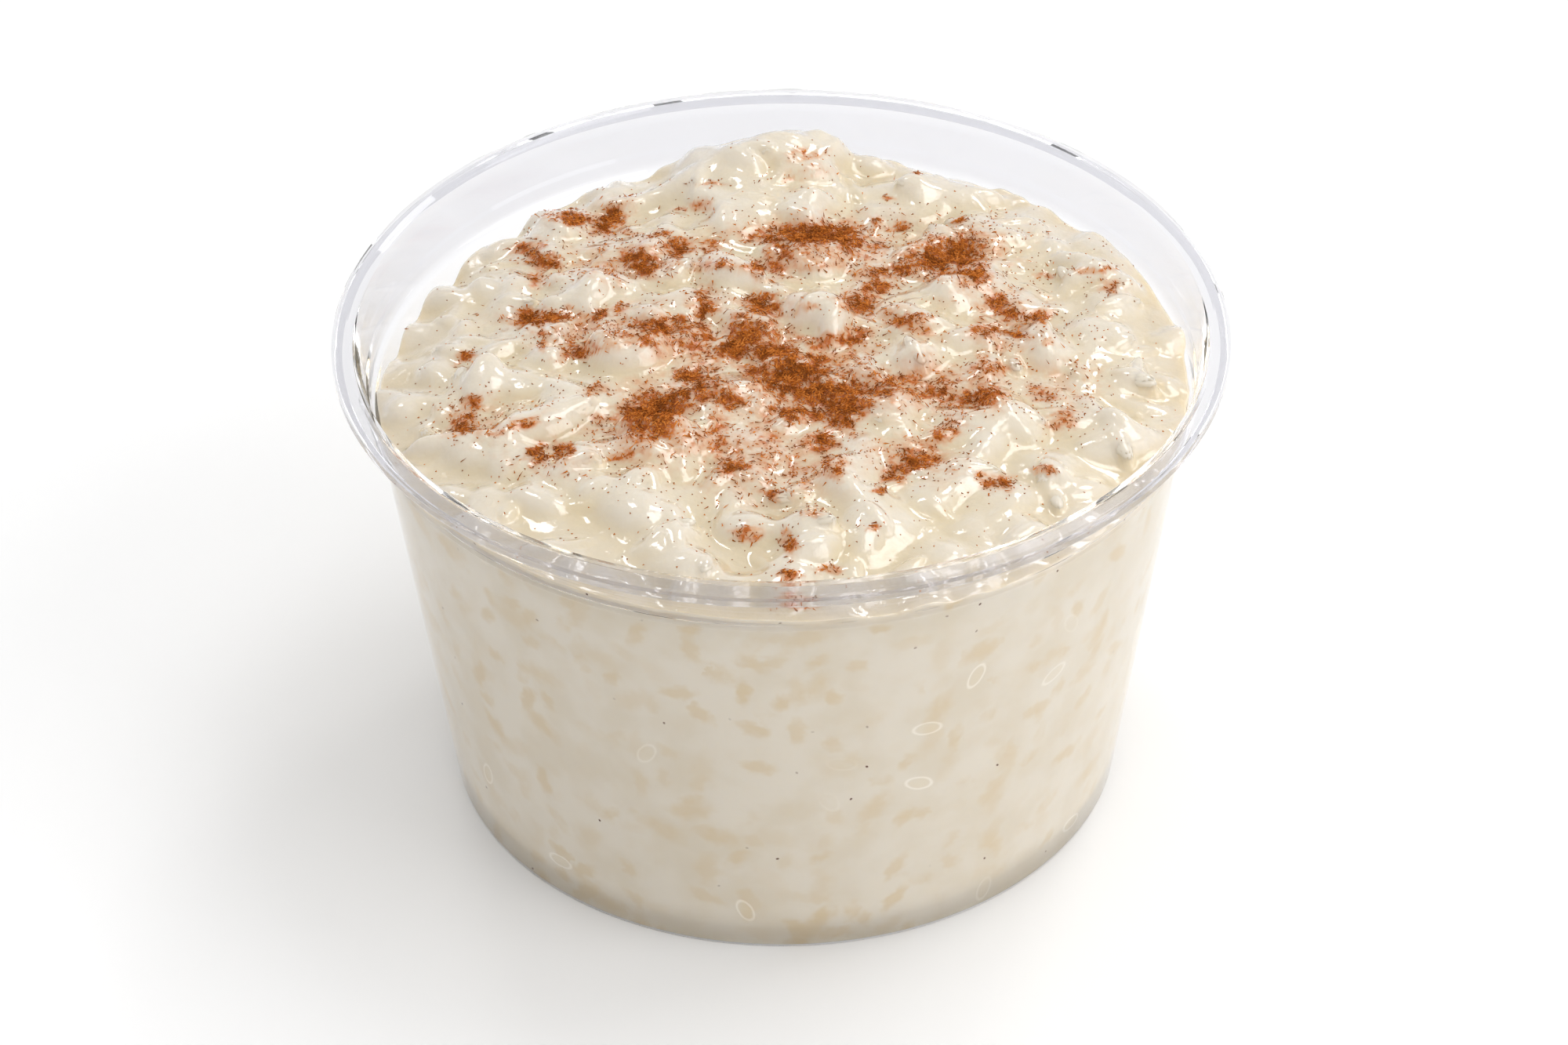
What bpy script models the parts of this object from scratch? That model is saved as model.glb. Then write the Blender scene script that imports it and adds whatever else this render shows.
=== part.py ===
# Rice pudding in a clear round plastic tub, dusted top left to the finish.
# Metres, +Z up. The origin is the middle of the tub's underside.
# The tub's slight taper, its ledge and its rolled lip are one turned wall. The pudding fills it to
# about the ledge and rises in the middle to a low uneven mound, in which cooked grains show.

import math
import random

import bmesh
import bpy
from mathutils import Euler, Matrix, Vector, noise

MM = 0.001

# Tub
RIM_DIAMETER = 117.0 * MM
RIM_RADIUS = RIM_DIAMETER / 2
BASE_RADIUS = 45.3 * MM
WALL_SLOPE = 0.138
WALL = 0.6 * MM
FLOOR = 0.8 * MM
FOOT_BEVEL = 0.6 * MM
LEDGE_HEIGHT = 58.6 * MM
LEDGE_WIDTH = 1.1 * MM
LEDGE_RISE = 0.8 * MM
COLLAR_TOP = 65.3 * MM
COLLAR_FLARE = 0.95 * MM
LIP_BOTTOM = 65.9 * MM
LIP_EDGE = 67.1 * MM
CROWN_RADIUS = 56.0 * MM
CROWN_HEIGHT = 68.3 * MM
TUB_SIDES = 80

# Pudding
GAP = 0.3 * MM
LEDGE_CLEARANCE = 0.6 * MM
RINGS = 20
WALL_LEVEL = 58.7 * MM
CENTRE_LEVEL = 62.4 * MM
RIPPLE = 1.0 * MM
RIPPLE_SIZE = 6.5 * MM
SKIRT = 0.8 * MM

# Where the level at the wall rises or dips: direction in degrees, narrowness, rise in millimetres
LEVEL_WAVES = (
    (-118, 2, 2.4),
    (168, 4, -2.2),
    (92, 40, 3.4),
    (28, 4, 0.7),
)

# Lumps of the mound: middle x and y, half length, half width, turn in degrees, rise (millimetres)
LUMPS = (
    (-4, 47, 12, 7, 0, 4.2),
    (4, 50, 8, 5, 0, 3.0),
    (-14, 43, 6, 4, 20, 2.2),
    (4, 38, 6, 5, 80, 2.4),
    (-5, 35, 5, 4, 60, 2.0),
    (21, 41, 9, 6, -15, 3.0),
    (33, 34, 7, 5, -40, 1.5),
    (44, 22, 6, 4, -60, 1.6),
    (-26, 16, 6, 5, 40, 2.8),
    (-18, 28, 5, 4, 10, 2.4),
    (-31, 36, 7, 4, 40, 3.0),
    (-15, 20, 4, 3, 70, 1.8),
    (-6, 19, 5.5, 2.8, -50, 3.4),
    (-7.5, 12, 4.5, 2, 80, 2.6),
    (6, 23, 5.5, 5, 30, 3.2),
    (5, 10, 5, 4.5, 0, 2.2),
    (23, 14, 6, 5, 60, 2.8),
    (16, 10, 4, 3, 20, 1.8),
    (17, 1, 4, 3, 60, 2.4),
    (24, 3, 4.5, 3.5, 0, 2.2),
    (31, 2, 4, 3.5, 90, 2.2),
    (14.5, -12, 4.6, 4, 70, 3.4),
    (28, -15, 7, 5, 40, 2.4),
    (23, -25, 7, 4, 60, 2.2),
    (10, -22, 6, 2.6, 75, 2.0),
    (43, -14, 6, 3, -35, 1.8),
    (44, 8, 6, 5, 80, 1.4),
    (-6, -8, 5, 3, -65, 2.2),
    (-13, -20, 6, 5, 10, 3.2),
    (-20, 0, 6, 4.5, -20, 3.0),
    (-36, -4, 8, 5, -10, 3.0),
    (-29, -12, 5, 4, 30, 2.2),
    (-38, -17, 6, 4, 0, 2.0),
    (-43, 7, 5, 4, 70, 2.2),
    (-26, -26, 12, 4, -35, 2.0),
    (-17, -36, 10, 4, -50, 2.0),
    (3, -38, 6, 3, 80, 2.4),
    (13, -37, 5, 4, 50, 2.0),
    (25, -36, 5, 4, 40, 2.0),
)

# Grains that show on the mound
GRAINS = 84
GRAIN_SIDES = 5
GRAIN_BANDS = 4
GRAIN_LENGTH = (5.4 * MM, 7.2 * MM)
GRAIN_WIDTH = (2.3 * MM, 2.9 * MM)
GRAIN_SHOWS = 0.5
GRAIN_TILT = math.radians(16)
GRAIN_SPREAD = 7.6 * MM
GRAIN_REACH = 47.5 * MM
GRAIN_SEED = 7


def clear_scene():
    for item in list(bpy.data.objects):
        bpy.data.objects.remove(item, do_unlink=True)


def plastic():
    material = bpy.data.materials.new("clear_plastic")
    material.use_nodes = True
    shader = material.node_tree.nodes["Principled BSDF"]
    shader.inputs["Base Color"].default_value = (0.93, 0.94, 0.96, 1)
    shader.inputs["Roughness"].default_value = 0.05
    shader.inputs["Metallic"].default_value = 0
    shader.inputs["Transmission Weight"].default_value = 1
    shader.inputs["IOR"].default_value = 1.5
    return material


def cream():
    material = bpy.data.materials.new("creamy_rice")
    material.use_nodes = True
    shader = material.node_tree.nodes["Principled BSDF"]
    shader.inputs["Base Color"].default_value = (0.84, 0.79, 0.66, 1)
    shader.inputs["Roughness"].default_value = 0.3
    shader.inputs["Metallic"].default_value = 0
    shader.inputs["Subsurface Weight"].default_value = 0.4
    return material


def add_object(name, mesh, material):
    thing = bpy.data.objects.new(name, mesh)
    bpy.context.collection.objects.link(thing)
    mesh.materials.append(material)
    mesh.shade_smooth()
    mesh.set_sharp_from_angle(angle=math.radians(40))
    return thing


def outer_radius(height):
    """The tub's outside at a height, from its foot to the top of its collar."""
    ledge_radius = BASE_RADIUS + WALL_SLOPE * LEDGE_HEIGHT
    collar_foot = LEDGE_HEIGHT + LEDGE_RISE
    if height <= LEDGE_HEIGHT:
        return BASE_RADIUS + WALL_SLOPE * height
    if height <= collar_foot:
        return ledge_radius + LEDGE_WIDTH * (height - LEDGE_HEIGHT) / LEDGE_RISE
    climb = (height - collar_foot) / (COLLAR_TOP - collar_foot)
    return ledge_radius + LEDGE_WIDTH + COLLAR_FLARE * climb


def inner_radius(height):
    """The tub's inside: the outer outline moved in by a wall, and up by half of one at the ledge."""
    return outer_radius(height - WALL / 2) - WALL


def tub_profile():
    """Radius and height round the wall's section, from the foot up the outside and down the inside."""
    collar_foot = LEDGE_HEIGHT + LEDGE_RISE
    foot_radius = outer_radius(FOOT_BEVEL)
    floor_edge = inner_radius(FLOOR)
    outside = [
        (foot_radius - FOOT_BEVEL, 0),
        (foot_radius, FOOT_BEVEL),
        (outer_radius(LEDGE_HEIGHT), LEDGE_HEIGHT),
        (outer_radius(collar_foot), collar_foot),
        (outer_radius(COLLAR_TOP), COLLAR_TOP),
        (RIM_RADIUS - 1.5 * MM, LIP_BOTTOM),
        (RIM_RADIUS - 0.3 * MM, LIP_BOTTOM),
        (RIM_RADIUS, LIP_BOTTOM + 0.4 * MM),
        (RIM_RADIUS, LIP_EDGE),
        (RIM_RADIUS - 0.5 * MM, LIP_EDGE + 0.5 * MM),
        (CROWN_RADIUS + 1.0 * MM, CROWN_HEIGHT - 0.25 * MM),
        (CROWN_RADIUS, CROWN_HEIGHT),
        (CROWN_RADIUS - 0.7 * MM, CROWN_HEIGHT - 0.3 * MM),
    ]
    inside_heights = (
        COLLAR_TOP + 1.6 * MM,
        collar_foot + WALL / 2,
        LEDGE_HEIGHT + WALL / 2,
        FLOOR + FOOT_BEVEL,
    )
    inside = [(inner_radius(height), height) for height in inside_heights]
    return outside + inside + [(floor_edge - FOOT_BEVEL, FLOOR)]


def make_tub(material):
    """The section turned round the upright axis, with the floor's two faces as flat discs."""
    mesh = bpy.data.meshes.new("tub")
    shape = bmesh.new()
    rings = []
    for radius, height in tub_profile():
        ring = []
        for side in range(TUB_SIDES):
            angle = math.tau * side / TUB_SIDES
            ring.append(shape.verts.new((radius * math.cos(angle), radius * math.sin(angle), height)))
        rings.append(ring)
    for lower, upper in zip(rings, rings[1:]):
        for side in range(TUB_SIDES):
            after = (side + 1) % TUB_SIDES
            shape.faces.new((lower[side], lower[after], upper[after], upper[side]))
    shape.faces.new(list(reversed(rings[0])))
    shape.faces.new(rings[-1])
    bmesh.ops.recalc_face_normals(shape, faces=shape.faces)
    shape.to_mesh(mesh)
    shape.free()
    return add_object("tub", mesh, material)


def side_radius(height):
    """The pudding's side: the tub's inside less a gap, and a little higher than the ledge."""
    return inner_radius(height - LEDGE_CLEARANCE) - GAP


def wall_level(angle):
    """The height at which the pudding meets the wall, looking out from the axis at an angle."""
    level = WALL_LEVEL
    for direction, narrowness, rise in LEVEL_WAVES:
        toward = max(0, math.cos(angle - math.radians(direction)))
        level += rise * MM * toward ** narrowness
    return level


def lump_rise(x, y):
    """What the lumps add at a point: each is a low round cap over a turned oval."""
    rise = 0
    for middle_x, middle_y, half_length, half_width, turn, height in LUMPS:
        across = Vector((x / MM - middle_x, y / MM - middle_y))
        across.rotate(Matrix.Rotation(-math.radians(turn), 2))
        reach = (across.x / half_length) ** 2 + (across.y / half_width) ** 2
        rise += height * MM * max(0, 1 - reach)
    return rise


def top_height(x, y):
    """The mound's surface: the level at the wall, a low dome, the lumps and a grain-sized ripple."""
    angle = math.atan2(y, x)
    level = wall_level(angle)
    share = min(1, math.hypot(x, y) / side_radius(level))
    dome = (CENTRE_LEVEL - level) * (1 - share ** 2.4)
    ripple = RIPPLE * noise.noise((x / RIPPLE_SIZE, y / RIPPLE_SIZE, 0))
    return level + dome + (lump_rise(x, y) + ripple) * min(1, 6 * (1 - share) + 0.15)


def edge_points(count):
    """Where the mound's outline meets the wall, as points on the pudding's own side."""
    points = []
    for step in range(count):
        angle = math.tau * step / count
        level = wall_level(angle)
        radius = side_radius(level)
        height = top_height(radius * math.cos(angle), radius * math.sin(angle))
        points.append((angle, height))
    return points


def add_web(shape):
    """The top as rings of near-equal triangles: ring k has 6k points, each set at the mound's height."""
    outline = edge_points(6 * RINGS)
    web = [[shape.verts.new((0, 0, top_height(0, 0)))]]
    for ring in range(1, RINGS):
        count = 6 * ring
        row = []
        for step in range(count):
            angle = math.tau * step / count
            reach = side_radius(wall_level(angle))
            x = reach * ring / RINGS * math.cos(angle)
            y = reach * ring / RINGS * math.sin(angle)
            row.append(shape.verts.new((x, y, top_height(x, y))))
        web.append(row)
    last = []
    for angle, height in outline:
        radius = side_radius(height)
        last.append(shape.verts.new((radius * math.cos(angle), radius * math.sin(angle), height)))
    web.append(last)
    for ring in range(1, RINGS + 1):
        inner = web[ring - 1]
        outer = web[ring]
        for sector in range(6):
            for step in range(ring):
                first = outer[sector * ring + step]
                second = outer[(sector * ring + step + 1) % len(outer)]
                near = inner[(sector * (ring - 1) + step) % len(inner)]
                shape.faces.new((first, second, near))
                if step:
                    before = inner[sector * (ring - 1) + step - 1]
                    shape.faces.new((before, first, near))
    return last


def add_side(shape, outline):
    """The side that the tub's wall shapes, from the mound's outline down to the floor."""
    shoulders = (LEDGE_HEIGHT + LEDGE_RISE + LEDGE_CLEARANCE, LEDGE_HEIGHT)
    base = FLOOR + GAP
    upper = outline
    rows = [(height, (index + 1) * SKIRT) for index, height in enumerate(shoulders)]
    rows += [(base + FOOT_BEVEL, 0), (base, 0)]
    for height, drop in rows:
        lower = []
        for vertex in outline:
            angle = math.atan2(vertex.co.y, vertex.co.x)
            level = min(height, vertex.co.z - drop) if drop else height
            radius = side_radius(level)
            if level == base:
                radius -= FOOT_BEVEL
            lower.append(shape.verts.new((radius * math.cos(angle), radius * math.sin(angle), level)))
        count = len(lower)
        for step in range(count):
            after = (step + 1) % count
            shape.faces.new((lower[step], lower[after], upper[after], upper[step]))
        upper = lower
    shape.faces.new(list(reversed(upper)))


def grain_places():
    """Where grains show: seeded draws over the mound that keep apart from one another."""
    draw = random.Random(GRAIN_SEED)
    places = []
    tries = 0
    while len(places) < GRAINS and tries < 4000:
        tries += 1
        radius = GRAIN_REACH * math.sqrt(draw.random())
        angle = draw.uniform(0, math.tau)
        x = radius * math.cos(angle)
        y = radius * math.sin(angle)
        if all(math.hypot(x - other[0], y - other[1]) > GRAIN_SPREAD for other in places):
            places.append((x, y))
    return draw, places


def make_grains(draw, places, collection):
    """One cooked grain for each place: a long low oval, about half of it above the cream."""
    for number, (x, y) in enumerate(places):
        length = draw.uniform(*GRAIN_LENGTH)
        width = draw.uniform(*GRAIN_WIDTH)
        turn = Euler((0, draw.uniform(-GRAIN_TILT, GRAIN_TILT), draw.uniform(0, math.pi)))
        shape = bmesh.new()
        bmesh.ops.create_uvsphere(shape, u_segments=GRAIN_SIDES, v_segments=GRAIN_BANDS, radius=0.5)
        along = Matrix.Rotation(math.pi / 2, 4, "Y")
        size = Matrix.Diagonal((length, width, width, 1))
        height = top_height(x, y) + width * (GRAIN_SHOWS - 0.5)
        place = Matrix.Translation((x, y, height)) @ turn.to_matrix().to_4x4()
        bmesh.ops.transform(shape, matrix=place @ size @ along, verts=shape.verts)
        mesh = bpy.data.meshes.new("grain")
        shape.to_mesh(mesh)
        shape.free()
        collection.objects.link(bpy.data.objects.new("grain_%d" % number, mesh))


def fuse(thing, collection):
    """Join a collection's pieces to the object as one body, then remove the pieces."""
    union = thing.modifiers.new("fuse", "BOOLEAN")
    union.operation = "UNION"
    union.operand_type = "COLLECTION"
    union.collection = collection
    union.solver = "EXACT"
    evaluated = thing.evaluated_get(bpy.context.evaluated_depsgraph_get())
    joined = bpy.data.meshes.new_from_object(evaluated)
    thing.modifiers.remove(union)
    thing.data = joined
    for piece in list(collection.objects):
        bpy.data.objects.remove(piece, do_unlink=True)
    bpy.data.collections.remove(collection)


def make_pudding(material):
    """The pudding's one solid, with the grains that show fused on."""
    mesh = bpy.data.meshes.new("pudding")
    shape = bmesh.new()
    add_side(shape, add_web(shape))
    bmesh.ops.recalc_face_normals(shape, faces=shape.faces)
    shape.to_mesh(mesh)
    shape.free()
    pudding = add_object("pudding", mesh, material)
    grains = bpy.data.collections.new("grains")
    bpy.context.scene.collection.children.link(grains)
    draw, places = grain_places()
    make_grains(draw, places, grains)
    fuse(pudding, grains)
    return pudding


clear_scene()
make_tub(plastic())
make_pudding(cream())
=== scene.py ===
import math
import random

import bmesh
import bpy
import numpy as np
from mathutils import Euler, Matrix, Vector, noise


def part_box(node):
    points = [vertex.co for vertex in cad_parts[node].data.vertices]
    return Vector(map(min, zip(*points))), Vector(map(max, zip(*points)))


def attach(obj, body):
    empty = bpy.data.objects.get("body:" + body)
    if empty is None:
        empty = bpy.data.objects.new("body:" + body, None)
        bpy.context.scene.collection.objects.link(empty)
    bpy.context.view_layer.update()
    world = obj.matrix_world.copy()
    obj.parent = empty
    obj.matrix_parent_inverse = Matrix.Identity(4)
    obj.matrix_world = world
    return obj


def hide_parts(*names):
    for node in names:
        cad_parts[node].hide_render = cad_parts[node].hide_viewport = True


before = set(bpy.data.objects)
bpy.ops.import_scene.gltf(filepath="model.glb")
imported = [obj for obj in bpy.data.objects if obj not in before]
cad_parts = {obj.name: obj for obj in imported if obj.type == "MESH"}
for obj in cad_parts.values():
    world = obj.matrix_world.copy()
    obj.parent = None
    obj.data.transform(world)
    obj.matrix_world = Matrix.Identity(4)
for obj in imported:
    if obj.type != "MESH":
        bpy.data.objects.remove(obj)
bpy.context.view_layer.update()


# The tub
# The real one is thin clear plastic, formed in one piece over a mould. It has a flat floor, a tapered
# wall, a small ledge that keeps nested tubs from jamming, a flared collar, and a lip that is rolled
# outwards and down for the lid to snap over.
MM = 0.001
TUB_SIDES = 288
CORNER_STEPS = 5
WALL_SLOPE = 0.138
BASE_RADIUS = 45.3
WALL = 0.55
FLOOR = 0.5
LEDGE_HEIGHT = 58.6
LEDGE_RISE = 0.8
LEDGE_WIDTH = 1.1
COLLAR_TOP = 65.3
COLLAR_FLARE = 0.95
STEP_LOW = 61.7
STEP_HIGH = 62.25
STEP_DEPTH = 0.3
ARC_SHARE = 0.42
FLAT_SHARE = 0.06
FLAT_KEPT = 0.06
CLOSE = 0.000001

tub_low, tub_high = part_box("tub")
rim_radius = tub_high[0] / MM
crown_height = tub_high[2] / MM
ledge_radius = BASE_RADIUS + WALL_SLOPE * LEDGE_HEIGHT
collar_foot = LEDGE_HEIGHT + LEDGE_RISE
collar_radius = ledge_radius + LEDGE_WIDTH
collar_top_radius = collar_radius + COLLAR_FLARE
step_radius = collar_radius - WALL

# Radius, height and corner radius in millimetres, from the middle of the underside out and up the outside,
# round the rolled lip, down the inside and back along the floor.
tub_section = (
    (0, 0, 0),
    (BASE_RADIUS - 0.1, 0, 0.5),
    (ledge_radius, LEDGE_HEIGHT, 1.4),
    (collar_radius, collar_foot, 0.6),
    (collar_top_radius, COLLAR_TOP, 0.4),
    (rim_radius - 2.75, crown_height - 1.1, 0.4),
    (rim_radius - 2.05, crown_height - 0.55, 0.3),
    (rim_radius - 0.8, crown_height - 1.0, 0.3),
    (rim_radius - 0.55, crown_height - 1.4, 0.2),
    (rim_radius - 0.55, crown_height - 1.85, 0.1),
    (rim_radius - 1.4, crown_height - 1.9, 0.1),
    (rim_radius - 1.4, crown_height - 2.35, 0.1),
    (rim_radius - 0.15, crown_height - 2.35, 0.15),
    (rim_radius, crown_height - 2.0, 0.15),
    (rim_radius, crown_height - 1.1, 0.35),
    (rim_radius - 0.45, crown_height - 0.5, 0.3),
    (rim_radius - 2.0, crown_height, 0.3),
    (rim_radius - 3.1, crown_height - 0.5, 0.35),
    (collar_top_radius - WALL - 0.05, COLLAR_TOP + 0.8, 0.15),
    (step_radius + STEP_DEPTH, STEP_HIGH, 0.15),
    (step_radius, STEP_LOW, 0.08),
    (step_radius - 0.3, collar_foot + WALL / 2, 0.5),
    (ledge_radius - WALL, LEDGE_HEIGHT + WALL / 2, 0.8),
    (BASE_RADIUS - WALL, FLOOR, 0.8),
    (0, FLOOR, 0),
)


def rounded(section):
    """The section's points, with each corner turned into an arc between two points on its flats."""
    points = []
    for index, (radius, height, corner) in enumerate(section):
        here = Vector((radius, height))
        if not corner:
            points.append(here)
            continue
        back = Vector(section[index - 1][:2]) - here
        ahead = Vector(section[index + 1][:2]) - here
        shorter = min(back.length, ahead.length)
        reach = min(corner / math.tan(back.angle(ahead) / 2), ARC_SHARE * shorter)
        flat = min(FLAT_KEPT, FLAT_SHARE * shorter)
        start = here + back.normalized() * reach
        end = here + ahead.normalized() * reach
        points.append(here + back.normalized() * (reach + flat))
        for step in range(CORNER_STEPS + 1):
            share = step / CORNER_STEPS
            points.append(start * (1 - share) ** 2 + here * 2 * share * (1 - share) + end * share**2)
        points.append(here + ahead.normalized() * (reach + flat))
    return points


def turned(name, points, sides):
    """A closed body of revolution: the section's edges, taken round the axis by a Screw modifier."""
    mesh = bpy.data.meshes.new(name)
    vertices = [(point.x * MM, 0, point.y * MM) for point in points]
    mesh.from_pydata(vertices, [(i, i + 1) for i in range(len(points) - 1)], [])
    thing = bpy.data.objects.new(name, mesh)
    bpy.context.scene.collection.objects.link(thing)
    screw = thing.modifiers.new("turn", "SCREW")
    screw.axis = "Z"
    screw.angle = math.tau
    screw.steps = sides
    screw.render_steps = sides
    screw.use_merge_vertices = True
    screw.merge_threshold = CLOSE
    screw.use_smooth_shade = True
    return thing


def make_plain(thing):
    """Replace an object's mesh by what its modifiers give, and take the modifiers off."""
    evaluated = thing.evaluated_get(bpy.context.evaluated_depsgraph_get())
    mesh = bpy.data.meshes.new_from_object(evaluated)
    thing.modifiers.clear()
    thing.data = mesh
    return thing


def face_outwards(thing):
    """Close seams and poles, then point every face out."""
    shape = bmesh.new()
    shape.from_mesh(thing.data)
    bmesh.ops.remove_doubles(shape, verts=shape.verts, dist=CLOSE)
    bmesh.ops.recalc_face_normals(shape, faces=shape.faces)
    shape.to_mesh(thing.data)
    shape.free()
    thing.data.shade_smooth()


def new_material(name):
    material = bpy.data.materials.new(name)
    material.use_nodes = True
    return material, material.node_tree.nodes, material.node_tree.links


def colour_mix(nodes, links, factor, low, high):
    """A colour between two, where each is a socket or a plain colour."""
    node = nodes.new("ShaderNodeMix")
    node.data_type = "RGBA"
    links.new(factor, node.inputs["Factor"])
    for socket, value in ((node.inputs["A"], low), (node.inputs["B"], high)):
        if isinstance(value, tuple):
            socket.default_value = (*value, 1)
        else:
            links.new(value, socket)
    return node.outputs["Result"]


def ranged(nodes, links, value, low, high, start=0.0, end=1.0):
    """A value's part of a range, brought between start and end."""
    node = nodes.new("ShaderNodeMapRange")
    node.interpolation_type = "SMOOTHSTEP"
    for name, number in (("From Min", low), ("From Max", high), ("To Min", start), ("To Max", end)):
        node.inputs[name].default_value = number
    links.new(value, node.inputs["Value"])
    return node.outputs["Result"]


def cloudy(nodes, links, place, scale, detail=2):
    """Cloudy noise over a material's coordinates."""
    node = nodes.new("ShaderNodeTexNoise")
    node.inputs["Scale"].default_value = scale
    node.inputs["Detail"].default_value = detail
    links.new(place, node.inputs["Vector"])
    return node.outputs["Fac"]


def bumped(nodes, links, height, strength, distance, shader):
    """Raise a shader's surface by a height."""
    bump = nodes.new("ShaderNodeBump")
    bump.inputs["Strength"].default_value = strength
    bump.inputs["Distance"].default_value = distance
    links.new(height, bump.inputs["Height"])
    links.new(bump.outputs["Normal"], shader.inputs["Normal"])


def clear_plastic():
    """Clear plastic, greyer and bluer in collar and lip: a faint tint of its own there, deepened as painted
    shade for the darker reflections they show. Lamps shine through its shadow.
    """
    material, nodes, links = new_material("clear_plastic")
    shader = nodes["Principled BSDF"]
    shader.inputs["IOR"].default_value = 1.06
    shader.inputs["Transmission Weight"].default_value = 1
    shader.inputs["Coat Weight"].default_value = 0.6
    shader.inputs["Coat Roughness"].default_value = 0.02
    place = nodes.new("ShaderNodeTexCoord").outputs["Object"]
    split = nodes.new("ShaderNodeSeparateXYZ")
    links.new(place, split.inputs["Vector"])
    collar = ranged(nodes, links, split.outputs["Z"], 0.0585, 0.0605)
    lip = ranged(nodes, links, split.outputs["Z"], 0.0655, 0.067)
    # The collar's and lip's greyer tints are partly painted shade, standing in for the darker reflections
    # seen there.
    tint_and_shade = colour_mix(nodes, links, collar, (0.95, 0.95, 0.96), (0.805, 0.805, 0.835))
    tint_and_shade = colour_mix(nodes, links, lip, tint_and_shade, (0.84, 0.84, 0.865))
    links.new(tint_and_shade, shader.inputs["Base Color"])
    flow = cloudy(nodes, links, place, 90)
    links.new(ranged(nodes, links, flow, 0.3, 0.7, 0.0, 0.02), shader.inputs["Roughness"])
    bumped(nodes, links, flow, 0.01, 0.0004, shader)
    path = nodes.new("ShaderNodeLightPath")
    see_through = nodes.new("ShaderNodeBsdfTransparent")
    see_through.inputs["Color"].default_value = (0.965, 0.965, 0.97, 1)
    mix = nodes.new("ShaderNodeMixShader")
    links.new(path.outputs["Is Shadow Ray"], mix.inputs["Fac"])
    links.new(shader.outputs["BSDF"], mix.inputs[1])
    links.new(see_through.outputs["BSDF"], mix.inputs[2])
    links.new(mix.outputs["Shader"], nodes["Material Output"].inputs["Surface"])
    return material


tub = make_plain(turned("clear_tub", rounded(tub_section), TUB_SIDES))
face_outwards(tub)
tub.data.materials.clear()
tub.data.materials.append(clear_plastic())
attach(tub, "root")
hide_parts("tub")


# The pudding
# Short rice cooked soft in sweetened milk until it thickens, spooned into the tub and left uneven. The cream
# coats the grains, so the top is rounded ridges and lumps with hollows between, and the wall shapes its side.
RINGS = 160
SIDE_ROWS = 12
ROW_GATHER = 1.3
EDGE_DROP = 0.3
BITE = 0.2
LEDGE_CLEARANCE = 0.6
WALL_LEVEL = 58.7
CENTRE_LEVEL = 62.4
DOME_POWER = 2.4
CALM_SLOPE = 5
CALM_LEAST = 0.4
RIPPLE = 1.0
RIPPLE_SIZE = 6.5
CELL = 0.3
REACH = 57.0

# Where the level at the wall rises or dips: direction in degrees, narrowness, rise in millimetres
LEVEL_WAVES = (
    (-118, 2, 2.4),
    (168, 4, -2.2),
    (92, 40, 3.4),
    (28, 4, 0.7),
)

# Lumps of the mound: middle x and y, half length, half width, turn in degrees, rise (millimetres)
LUMPS = (
    (-4, 47, 12, 7, 0, 4.2),
    (4, 50, 8, 5, 0, 3.0),
    (-14, 43, 6, 4, 20, 2.2),
    (4, 38, 6, 5, 80, 2.4),
    (-5, 35, 5, 4, 60, 2.0),
    (21, 41, 9, 6, -15, 3.0),
    (33, 34, 7, 5, -40, 1.5),
    (44, 22, 6, 4, -60, 1.6),
    (-26, 16, 6, 5, 40, 2.8),
    (-18, 28, 5, 4, 10, 2.4),
    (-31, 36, 7, 4, 40, 3.0),
    (-15, 20, 4, 3, 70, 1.8),
    (-6, 19, 5.5, 2.8, -50, 3.4),
    (-7.5, 12, 4.5, 2, 80, 2.6),
    (6, 23, 5.5, 5, 30, 3.2),
    (5, 10, 5, 4.5, 0, 2.2),
    (23, 14, 6, 5, 60, 2.8),
    (16, 10, 4, 3, 20, 1.8),
    (17, 1, 4, 3, 60, 2.4),
    (24, 3, 4.5, 3.5, 0, 2.2),
    (31, 2, 4, 3.5, 90, 2.2),
    (14.5, -12, 4.6, 4, 70, 3.4),
    (28, -15, 7, 5, 40, 2.4),
    (23, -25, 7, 4, 60, 2.2),
    (10, -22, 6, 2.6, 75, 2.0),
    (43, -14, 6, 3, -35, 1.8),
    (44, 8, 6, 5, 80, 1.4),
    (-6, -8, 5, 3, -65, 2.2),
    (-13, -20, 6, 5, 10, 3.2),
    (-20, 0, 6, 4.5, -20, 3.0),
    (-36, -4, 8, 5, -10, 3.0),
    (-29, -12, 5, 4, 30, 2.2),
    (-38, -17, 6, 4, 0, 2.0),
    (-43, 7, 5, 4, 70, 2.2),
    (-26, -26, 12, 4, -35, 2.0),
    (-17, -36, 10, 4, -50, 2.0),
    (3, -38, 6, 3, 80, 2.4),
    (13, -37, 5, 4, 50, 2.0),
    (25, -36, 5, 4, 40, 2.0),
)

inner_heights = (
    FLOOR,
    LEDGE_HEIGHT + WALL / 2,
    collar_foot + WALL / 2,
    STEP_LOW,
    STEP_HIGH,
    COLLAR_TOP + 0.8,
)
inner_radii = (
    BASE_RADIUS - WALL,
    ledge_radius - WALL,
    step_radius - 0.3,
    step_radius,
    step_radius + STEP_DEPTH,
    collar_top_radius - WALL,
)


def wall_radius(height):
    """The tub's inside at a height, as the pudding meets it: a hair into the plastic."""
    return np.interp(height, inner_heights, inner_radii) + BITE


def wall_level(angle):
    """The height at which the pudding meets the wall, looking out from the axis at an angle."""
    level = WALL_LEVEL + 0 * angle
    for direction, narrowness, rise in LEVEL_WAVES:
        toward = np.maximum(0, np.cos(angle - math.radians(direction)))
        level = level + rise * toward**narrowness
    return level


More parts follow.
